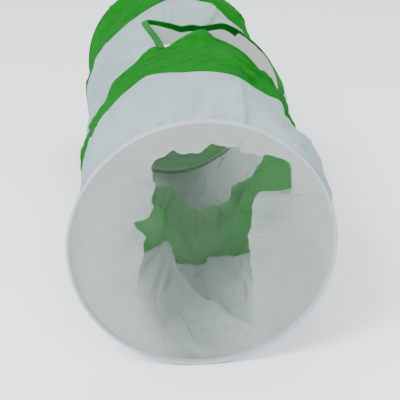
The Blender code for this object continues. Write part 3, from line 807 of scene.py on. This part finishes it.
class Nodes:
    """A short way to build a material's nodes."""

    def __init__(self, name):
        self.made = bpy.data.materials.new(name)
        self.made.use_nodes = True
        self.tree = self.made.node_tree
        self.shader = self.tree.nodes["Principled BSDF"]
        self.output = self.tree.nodes["Material Output"]

    def add(self, kind, inputs=None, **settings):
        node = self.tree.nodes.new("ShaderNode" + kind)
        for key, value in settings.items():
            setattr(node, key, value)
        for key, value in (inputs or {}).items():
            self.feed(node, key, value)
        return node

    def feed(self, node, key, value):
        if isinstance(value, bpy.types.NodeSocket):
            self.tree.links.new(value, node.inputs[key])
        else:
            node.inputs[key].default_value = value

    def noise(self, scale, detail, **inputs):
        place = self.add("TexCoord").outputs["Object"]
        inputs.update(Vector=place, Scale=scale, Detail=detail)
        return self.add("TexNoise", inputs).outputs["Fac"]

    def math(self, operation, a, b=0.0):
        return self.add("Math", {0: a, 1: b}, operation=operation).outputs[0]

    def blend(self, factor, a, b):
        node = self.add("Mix", data_type="RGBA")
        self.feed(node, 0, factor)
        self.feed(node, 6, a)
        self.feed(node, 7, b)
        return node.outputs[2]

    def ramp(self, factor, low, high):
        node = self.add("MapRange", {"Value": factor, "From Min": low, "From Max": high})
        return node.outputs[0]


def fabric(
    name, light, dark, glow, see_through, crinkle,
    weave=TAPE_WEAVE, roughness=CLOTH_ROUGHNESS, depth=WEAVE_DEPTH,
):
    """Woven cloth: its threads as fine bumps, soft crinkles and slightly uneven colour. Glow is the
    colour of the light that comes through, and see_through its share."""
    nodes = Nodes(name)
    place = nodes.add("UVMap", uv_map="cloth").outputs[0]
    split = nodes.add("SeparateXYZ", {0: place})
    warp = nodes.math("SINE", nodes.math("MULTIPLY", split.outputs[0], 2 * math.pi / weave))
    weft = nodes.math("SINE", nodes.math("MULTIPLY", split.outputs[1], 2 * math.pi / weave))
    threads = nodes.math("MULTIPLY", warp, weft)
    creases = nodes.noise(34.0, 3.0, Roughness=0.45, Distortion=0.6)
    sharp = nodes.math("ABSOLUTE", nodes.math("SUBTRACT", creases, 0.5))
    cloudy = nodes.noise(7.0, 2.0)
    slubs = nodes.noise(420.0, 1.0)
    uneven = nodes.math("ADD", nodes.math("MULTIPLY", cloudy, 0.7), nodes.math("MULTIPLY", slubs, 0.3))
    colour = nodes.blend(nodes.ramp(uneven, 0.35, 0.65), (*dark, 1), (*light, 1))
    fold = nodes.add("Bump", {"Strength": 0.55, "Distance": crinkle, "Height": sharp}, invert=True)
    grain = {"Strength": 0.35, "Distance": depth, "Height": threads, "Normal": fold.outputs[0]}
    grain = nodes.add("Bump", grain)
    shader = nodes.shader
    nodes.feed(shader, "Base Color", colour)
    rough = nodes.add("MapRange", {"Value": slubs, "To Min": roughness - 0.06, "To Max": roughness + 0.06})
    nodes.feed(shader, "Roughness", rough.outputs[0])
    nodes.feed(shader, "Normal", grain.outputs[0])
    shader.inputs["Specular IOR Level"].default_value = 0.06
    if see_through:
        through = nodes.add("BsdfTranslucent", {"Color": (*glow, 1), "Normal": grain.outputs[0]})
        mixed = nodes.add("MixShader", {0: see_through, 1: shader.outputs[0], 2: through.outputs[0]})
        nodes.tree.links.new(mixed.outputs[0], nodes.output.inputs["Surface"])
    return nodes.made


def steel():
    """Drawn spring wire: grey, with fine scratches along it."""
    nodes = Nodes("drawn_steel")
    scratches = nodes.noise(260.0, 4.0)
    colour = nodes.blend(scratches, (0.30, 0.31, 0.33, 1), (0.55, 0.56, 0.58, 1))
    nodes.feed(nodes.shader, "Base Color", colour)
    rough = nodes.add("MapRange", {"Value": scratches, "To Min": 0.22, "To Max": 0.45})
    nodes.feed(nodes.shader, "Roughness", rough.outputs[0])
    nodes.shader.inputs["Metallic"].default_value = 1.0
    bump = nodes.add("Bump", {"Strength": 0.2, "Distance": 0.0001, "Height": scratches})
    nodes.feed(nodes.shader, "Normal", bump.outputs[0])
    return nodes.made


def thread(name, light, dark):
    """Twisted sewing thread."""
    nodes = Nodes(name)
    twist = nodes.noise(1500.0, 1.0)
    nodes.feed(nodes.shader, "Base Color", nodes.blend(twist, (*dark, 1), (*light, 1)))
    nodes.shader.inputs["Roughness"].default_value = 0.6
    bump = nodes.add("Bump", {"Strength": 0.4, "Distance": 0.0001, "Height": twist})
    nodes.feed(nodes.shader, "Normal", bump.outputs[0])
    return nodes.made


def floor_material():
    nodes = Nodes("pale_floor")
    mottle = nodes.noise(3.0, 3.0)
    nodes.feed(nodes.shader, "Base Color", nodes.blend(mottle, (0.93, 0.93, 0.93, 1), (0.96, 0.96, 0.96, 1)))
    nodes.shader.inputs["Roughness"].default_value = 0.85
    return nodes.made


WHITE = fabric(
    "white_nylon", (0.42, 0.55, 0.61), (0.36, 0.47, 0.53), (0.92, 0.97, 0.97), 0.56, 0.0016, NYLON_WEAVE
)
# The inside of the white cloth: a much darker copy of the white, as painted shade inside the tunnel, with a
# brighter glow for the light that comes through it.
WHITE_INSIDE_PAINTED_SHADE = fabric(
    "white_nylon_inside_painted_shade", (0.15, 0.155, 0.14), (0.11, 0.115, 0.10), (0.90, 0.905, 0.85), 0.62, 0.0026,
    NYLON_WEAVE,
)
GREEN = fabric(
    "green_nylon", (0.002, 0.14, 0.008), (0.001, 0.10, 0.006), (0.02, 0.60, 0.04), 0.36, 0.0010, NYLON_WEAVE
)
# The inside of the green cloth: a much lighter, greyer copy of the green, as painted light inside the
# tunnel.
GREEN_INSIDE_PAINTED_LIGHT = fabric(
    "green_nylon_inside_painted_light", (0.32, 0.45, 0.34), (0.27, 0.39, 0.29), (0.38, 0.86, 0.44), 0.48, 0.0014,
    NYLON_WEAVE,
)
WHITE_TAPE = fabric(
    "white_tape", (0.42, 0.47, 0.50), (0.37, 0.42, 0.45), (0.6, 0.64, 0.66), 0.25, 0.0012
)
# The seam tapes: a pale grey-green, lighter than green tape, as painted light that hides the dark line of
# shade along the seams.
GREEN_TAPE_PAINTED_LIGHT = fabric("green_tape", (0.42, 0.56, 0.44), (0.36, 0.50, 0.38), (0.4, 0.8, 0.45), 0.4, 0.0012)
GREEN_HEM = fabric(
    "green_hem_tape", (0.003, 0.15, 0.008), (0.002, 0.11, 0.006), (0.02, 0.5, 0.02), 0.20, 0.0012
)
BINDING = fabric(
    "green_binding", (0.004, 0.15, 0.012), (0.002, 0.07, 0.005), None, 0, 0.0008,
    BINDING_WEAVE, BINDING_ROUGHNESS, BINDING_WEAVE_DEPTH,
)
WHITE_THREAD = thread("white_thread", (0.82, 0.85, 0.88), (0.62, 0.66, 0.70))
GREEN_THREAD = thread("green_thread", (0.02, 0.22, 0.02), (0.008, 0.10, 0.01))
SEAM_THREAD = thread("seam_thread", (0.40, 0.54, 0.42), (0.34, 0.48, 0.36))
STEEL = steel()

# Cloth, hems, seams and hoops

CLOTHS = [Cloth(section, seed) for section, seed in enumerate(CLOTH_SEEDS)]
CLOTH_NAMES = ("panel_1_white", "panel_2_green", "panel_3_white", "panel_4_green")
# Each section's outer finish, then its inside finish: a darker copy of the white as painted shade, a lighter
# copy of the green as painted light.
CLOTH_FINISHES = ((WHITE, WHITE_INSIDE_PAINTED_SHADE), (GREEN, GREEN_INSIDE_PAINTED_LIGHT)) * 2


def dress(piece, body, slot, *nodes):
    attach(piece, body)
    if nodes:
        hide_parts(*nodes)
    return piece


def squash_with_section(piece):
    """Gives a piece of a section its own copy of its mesh."""
    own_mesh(piece)


def add_cloth(section, cloth):
    name = CLOTH_NAMES[section]
    piece = cloth_piece(name + "_cloth", cloth, *CLOTH_FINISHES[section])
    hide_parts(name)
    if section in (0, 2):
        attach(piece, BODIES[section])
        squash_with_section(piece)
    else:
        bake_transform(piece)
    return piece


def add_hem(name, hoop, rearward, finish, thread_finish, slot_name):
    """The folded hem at an end, with its line of stitches inside and out."""
    slot = CLOTH_THICKNESS + 2 * CLEARANCE
    outline = channel_outline(slot, HEM_DEPTH - HEM_WIRE_INSET)
    turned = [(rearward * (HEM_WIRE_INSET + a), HEM_WIRE_RADIUS + rearward * r) for a, r in outline]
    hem = sweep(name + "_tape", hoop, turned, 480, finish, HEM_PUCKER)
    dress(hem, BODIES[hoop], slot_name, name)
    turn = np.radians(DEGREES)
    stitched = []
    for side in (-1, 1):
        radius = HEM_WIRE_RADIUS + side * (slot / 2 + TAPE_THICKNESS)
        path = hoop_points(hoop, DEGREES, rearward * (HEM_DEPTH - HEM_STITCH_INSET), radius)
        normals = side * np.stack([np.cos(turn), 0 * turn, np.sin(turn)], 1)
        where = "outside" if side > 0 else "inside"
        line = add_stitches(f"{name}_stitches_{where}", path, normals, STITCH_PITCH, thread_finish, True)
        dress(line, BODIES[hoop], slot_name)
        stitched.append(line)
    return [hem, *stitched]


def add_seam(hoop):
    """The tape channel inside a seam, with stitches along both its sides."""
    slot = 2 * CLOTH_THICKNESS + 3 * CLEARANCE
    leg = TUNNEL_RADIUS - CLOTH_THICKNESS - CLEARANCE - SEAM_WIRE_RADIUS
    outline = [(-r, SEAM_WIRE_RADIUS + a) for a, r in channel_outline(slot, leg)]
    name = f"seam_tape_{hoop + 1}"
    # The seam tape's finish is painted light, so no shaded line shows along the seam.
    tape = sweep(name + "_tape", hoop, outline, 360, GREEN_TAPE_PAINTED_LIGHT, SEAM_PUCKER)
    dress(tape, BODIES[hoop], "green_cloth", name)
    turn = HOOPS[hoop][1]
    for side in (-1, 1):
        along = side * (slot / 2 + TAPE_THICKNESS)
        path = hoop_points(hoop, DEGREES, along, SEAM_EDGE_RADIUS + SEAM_STITCH_INSET)
        normals = side * np.array([[-math.sin(turn), math.cos(turn), 0]] * len(DEGREES))
        where = "rear" if side > 0 else "front"
        line = add_stitches(f"{name}_stitches_{where}", path, normals, STITCH_PITCH, SEAM_THREAD, True)
        dress(line, BODIES[hoop], "green_cloth")


def add_wire(hoop):
    """The hoop's round wire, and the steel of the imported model's crimp."""
    if hoop == 0:
        radius, behind = HEM_WIRE_RADIUS, HEM_WIRE_INSET
    elif hoop == LAST:
        radius, behind = HEM_WIRE_RADIUS, -HEM_WIRE_INSET
    else:
        radius, behind = SEAM_WIRE_RADIUS, 0
    sides = 12
    turns = [2 * math.pi * i / sides for i in range(sides)]
    outline = [(behind + WIRE_RADIUS * math.sin(t), radius + WIRE_RADIUS * math.cos(t)) for t in turns]
    name = f"hoop_{hoop + 1}_wire"
    dress(sweep(name + "_steel", hoop, outline, 240, STEEL), BODIES[hoop], "steel", name)
    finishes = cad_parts[f"hoop_{hoop + 1}_crimp"].data.materials
    finishes.clear()
    finishes.append(STEEL)


def dress_trim(piece, *nodes):
    return dress(piece, "hoop_3", "dark_green_tape", *nodes)


def crossed_box():
    """A line of stitches as shares across and along a patch: round its edge, then over a diagonal."""
    low, high = PATCH_STITCH_INSET_SHARE, 1 - PATCH_STITCH_INSET_SHARE
    corners = np.array([(low, low), (high, low), (high, high), (low, high), (low, low), (high, high)])
    steps = np.linspace(0, 1, 12)[:-1, None]
    return np.concatenate([a + (b - a) * steps for a, b in zip(corners, corners[1:])]).T


def add_window_trim(cloth, near_cloth):
    """The binding round three sides of the window, its sewn ends and the keeper tab."""
    width = math.degrees(BINDING_WIDTH / TUNNEL_RADIUS)
    runs = np.linspace(0, 1, 90)[None, :]
    start = SEAM_EDGE_OFFSET + CLEARANCE
    trims = []

    def bind(side, place, line):
        piece = binding_on_edge(f"window_binding_{side}_tape", cloth, place, BINDING)
        trims.append(dress_trim(piece, f"window_binding_{side}"))
        for share in BINDING_STITCH_SHARES:
            path, normals = cloth.at(*line(share), BINDING_STITCH_LIFT)
            name = f"window_stitches_{side}_{round(share * 100)}"
            trims.append(dress_trim(add_stitches(name, path, normals, BINDING_STITCH_PITCH, GREEN_THREAD)))

    for side, edge, sign in (("left", WINDOW_LEFT, 1), ("right", WINDOW_RIGHT, -1)):

        def side_place(distance, edge=edge, sign=sign):
            ways = runs if sign > 0 else runs[:, ::-1]
            angles = edge + sign * width * distance / BINDING_WIDTH + 0 * ways
            return angles, start + (WINDOW_REACH + distance - start) * ways

        def side_line(share, edge=edge, sign=sign):
            end = WINDOW_REACH + BINDING_WIDTH * share
            return edge + sign * width * share, np.linspace(start + BINDING_STITCH_START, end, 200)

        bind(side, side_place, side_line)

    def far_place(distance):
        turn = width * distance / BINDING_WIDTH
        first, last = WINDOW_RIGHT - turn, WINDOW_LEFT + turn
        return last + (first - last) * runs, WINDOW_REACH + distance + 0 * runs

    def far_line(share):
        line = np.linspace(WINDOW_RIGHT - width * share, WINDOW_LEFT + width * share, 300)
        return line, WINDOW_REACH + BINDING_WIDTH * share

    bind("far", far_place, far_line)
    for piece in trims:
        squash_with_section(piece)
    seam = SECTION_LENGTHS[1] - SEAM_EDGE_OFFSET - CLEARANCE
    tab = math.degrees(TAB_WIDTH / TUNNEL_RADIUS)
    across, forth = crossed_box()
    for name, low, wide, long in (
        ("window_patch_left", WINDOW_LEFT, width, PATCH_LENGTH),
        ("window_patch_right", WINDOW_RIGHT - width, width, PATCH_LENGTH),
        ("window_tab", TAB_MIDDLE - tab / 2, tab, TAB_LENGTH),
    ):
        angles = np.linspace(low, low + wide, 9)[:, None]
        alongs = np.linspace(seam - long, seam, 12)[None, :]
        tape = tape_on_cloth(name + "_tape", near_cloth, *np.broadcast_arrays(angles, alongs), BINDING)
        dress_trim(tape, name)
        places = low + wide * across, seam - long * (1 - forth)
        path, normals = near_cloth.at(*places, PATCH_STITCH_LIFT)
        dress_trim(add_stitches(name + "_stitches", path, normals, PATCH_STITCH_PITCH, GREEN_THREAD))
    return trims


def add_camera():
    centre = HOOPS[0][0]
    data = bpy.data.cameras.new("camera")
    data.sensor_width = SENSOR_WIDTH
    data.lens = SENSOR_WIDTH * FOCAL_PIXELS / IMAGE_PIXELS
    data.clip_start, data.clip_end = 0.05, 50
    camera = new_object("camera", data)
    camera.location = Vector(centre) + Vector(CAMERA_OFFSET)
    camera.rotation_euler = (math.pi / 2 - CAMERA_PITCH, 0, -CAMERA_YAW)
    bpy.context.scene.camera = camera


def add_light(name, place, target, size, power):
    data = bpy.data.lights.new(name, "AREA")
    data.shape = "DISK"
    data.size = size
    data.energy = power
    light = new_object(name, data)
    light.location = place
    light.rotation_euler = (Vector(target) - Vector(place)).to_track_quat("-Z", "Y").to_euler()


def add_studio():
    mesh = bpy.data.meshes.new("floor")
    corners = [(x * FLOOR_REACH, y * FLOOR_REACH, 0) for x, y in ((-1, -1), (1, -1), (1, 1), (-1, 1))]
    mesh.from_pydata(corners, [], [(0, 1, 2, 3)])
    mesh.materials.append(floor_material())
    new_object("floor", mesh)
    world = bpy.data.worlds.new("studio")
    world.use_nodes = True
    sky = world.node_tree.nodes["Background"]
    sky.inputs["Color"].default_value = SKY_COLOUR
    sky.inputs["Strength"].default_value = SKY_STRENGTH
    bpy.context.scene.world = world
    for light in LIGHTS:
        add_light(*light)


add_camera()
add_studio()
pieces = [add_cloth(section, cloth) for section, cloth in enumerate(CLOTHS)]
front = add_hem("front_hem", 0, 1, WHITE_TAPE, WHITE_THREAD, "white_tape")
rear = add_hem("rear_hem", LAST, -1, GREEN_HEM, GREEN_THREAD, "green_cloth")
for hoop in range(1, LAST):
    add_seam(hoop)
for hoop in range(LAST + 1):
    add_wire(hoop)
trims = add_window_trim(CLOTHS[2], CLOTHS[1])
